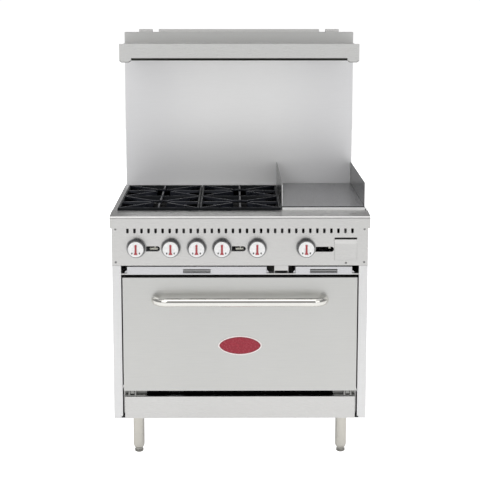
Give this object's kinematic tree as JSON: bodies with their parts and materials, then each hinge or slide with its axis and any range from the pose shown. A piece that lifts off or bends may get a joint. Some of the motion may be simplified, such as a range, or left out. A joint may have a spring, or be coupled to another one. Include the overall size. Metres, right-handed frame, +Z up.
{
  "type": "gas range",
  "caption": "Free-standing commercial gas range with open burners, side griddle, drop-door oven, crumb trays, riser and high shelf.",
  "frame": {"origin": "on the floor, under the middle of the object's bounding box", "axes": "+X to the right seen from the front, +Y from the door to the back, +Z up"},
  "size_m": [0.917, 0.886, 1.5305],
  "materials": {
    "stainless": "brushed",
    "aluminised_steel": "dull",
    "enamel": "vitreous enamel",
    "cast_iron": "black, semi-gloss",
    "griddle_steel": "ground",
    "polished_steel": "polished",
    "chrome_wire": "plated wire",
    "dark_steel": "dull",
    "brass": "machined",
    "thermostat_metal": "plated",
    "insulation": "mineral wool",
    "badge_enamel": "gloss enamel",
    "knob_white": "gloss",
    "screws": "plain"
  },
  "bodies": {
    "range_body": {"base_frame": "aluminised_steel", "left_side_panel": "stainless", "right_side_panel": "stainless", "back_panel": "aluminised_steel", "kick_panel": "stainless", "front_frame": "stainless", "control_panel": "stainless", "landing_ledge": "stainless", "cooktop_frame": "stainless", "riser_panel": "stainless", "riser_back": "aluminised_steel", "high_shelf": "stainless", "flue_cap": "stainless", "oven_liner": "enamel", "oven_insulation": "insulation", "oven_deck": "enamel", "rack_guides": "chrome_wire", "oven_burner": "aluminised_steel", "flue_duct": "aluminised_steel", "gas_manifold": "dark_steel", "gas_valves": "brass", "oven_thermostat": "thermostat_metal", "open_burners": "cast_iron", "griddle_plate": "griddle_steel", "griddle_splash": "stainless", "grease_trough": "stainless", "griddle_burner": "aluminised_steel", "pilot_tubes": "brass", "slide_runners": "aluminised_steel", "door_hinges": "dark_steel", "knob_bezels": "polished_steel", "panel_screws": "screws", "legs": "stainless"},
    "oven_door": {"door_skin": "stainless", "door_inner": "enamel", "door_insulation": "insulation", "door_gasket": "insulation", "door_handle": "polished_steel", "door_badge": "badge_enamel", "door_arms": "dark_steel", "door_springs": "chrome_wire"},
    "knob_1_turn": {"knob_1": "knob_white"},
    "knob_2_turn": {"knob_2": "knob_white"},
    "knob_3_turn": {"knob_3": "knob_white"},
    "knob_4_turn": {"knob_4": "knob_white"},
    "knob_5_turn": {"knob_5": "knob_white"},
    "knob_6_turn": {"knob_6": "knob_white"},
    "left_crumb_tray": {"left_crumb_tray": "stainless"},
    "right_crumb_tray": {"right_crumb_tray": "stainless"},
    "grease_drawer": {"grease_drawer": "stainless"},
    "grate_front_left": {"grate_front_left": "cast_iron"},
    "grate_front_right": {"grate_front_right": "cast_iron"},
    "grate_rear_left": {"grate_rear_left": "cast_iron"},
    "grate_rear_right": {"grate_rear_right": "cast_iron"},
    "upper_rack": {"upper_rack": "chrome_wire"},
    "lower_rack": {"lower_rack": "chrome_wire"},
    "foot_front_left": {"foot_front_left": "dark_steel"},
    "foot_front_right": {"foot_front_right": "dark_steel"},
    "foot_rear_left": {"foot_rear_left": "dark_steel"},
    "foot_rear_right": {"foot_rear_right": "dark_steel"}
  },
  "joints": [
    {"name": "door_hinge", "type": "hinge", "parent": "range_body", "child": "oven_door", "pos_m": [0, -0.34405, 0.247], "axis": [1, 0, 0], "range_deg": [0, 88], "stiffness_Nm_per_rad": 12, "springref_deg": -17.19, "deforming": ["door_springs"]},
    {"name": "burner_1_control", "type": "hinge", "parent": "range_body", "child": "knob_1_turn", "pos_m": [-0.369, -0.37205, 0.782], "axis": [0, 1, 0], "range_deg": [-90, 0]},
    {"name": "burner_2_control", "type": "hinge", "parent": "range_body", "child": "knob_2_turn", "pos_m": [-0.246, -0.37205, 0.782], "axis": [0, 1, 0], "range_deg": [-90, 0]},
    {"name": "oven_control", "type": "hinge", "parent": "range_body", "child": "knob_3_turn", "pos_m": [-0.154, -0.37205, 0.782], "axis": [0, 1, 0], "range_deg": [-280, 0]},
    {"name": "burner_3_control", "type": "hinge", "parent": "range_body", "child": "knob_4_turn", "pos_m": [-0.064, -0.37205, 0.782], "axis": [0, 1, 0], "range_deg": [-90, 0]},
    {"name": "burner_4_control", "type": "hinge", "parent": "range_body", "child": "knob_5_turn", "pos_m": [0.061, -0.37205, 0.782], "axis": [0, 1, 0], "range_deg": [-90, 0]},
    {"name": "griddle_control", "type": "hinge", "parent": "range_body", "child": "knob_6_turn", "pos_m": [0.235, -0.37205, 0.782], "axis": [0, 1, 0], "range_deg": [-90, 0]},
    {"name": "left_crumb_tray_slide", "type": "slide", "parent": "range_body", "child": "left_crumb_tray", "axis": [0, -1, 0], "range_m": [0, 0.45]},
    {"name": "right_crumb_tray_slide", "type": "slide", "parent": "range_body", "child": "right_crumb_tray", "axis": [0, -1, 0], "range_m": [0, 0.45]},
    {"name": "grease_drawer_slide", "type": "slide", "parent": "range_body", "child": "grease_drawer", "axis": [0, -1, 0], "range_m": [0, 0.2]},
    {"name": "grate_front_left_lift", "type": "slide", "parent": "range_body", "child": "grate_front_left", "axis": [0, 0, 1], "range_m": [0, 0.12]},
    {"name": "grate_front_right_lift", "type": "slide", "parent": "range_body", "child": "grate_front_right", "axis": [0, 0, 1], "range_m": [0, 0.12]},
    {"name": "grate_rear_left_lift", "type": "slide", "parent": "range_body", "child": "grate_rear_left", "axis": [0, 0, 1], "range_m": [0, 0.12]},
    {"name": "grate_rear_right_lift", "type": "slide", "parent": "range_body", "child": "grate_rear_right", "axis": [0, 0, 1], "range_m": [0, 0.12]},
    {"name": "upper_rack_slide", "type": "slide", "parent": "range_body", "child": "upper_rack", "axis": [0, -1, 0], "range_m": [0, 0.028]},
    {"name": "lower_rack_slide", "type": "slide", "parent": "range_body", "child": "lower_rack", "axis": [0, -1, 0], "range_m": [0, 0.028]},
    {"name": "foot_front_left_screw", "type": "slide", "parent": "range_body", "child": "foot_front_left", "axis": [0, 0, -1], "range_m": [0, 0.025]},
    {"name": "foot_front_right_screw", "type": "slide", "parent": "range_body", "child": "foot_front_right", "axis": [0, 0, -1], "range_m": [0, 0.025]},
    {"name": "foot_rear_left_screw", "type": "slide", "parent": "range_body", "child": "foot_rear_left", "axis": [0, 0, -1], "range_m": [0, 0.025]},
    {"name": "foot_rear_right_screw", "type": "slide", "parent": "range_body", "child": "foot_rear_right", "axis": [0, 0, -1], "range_m": [0, 0.025]}
  ]
}
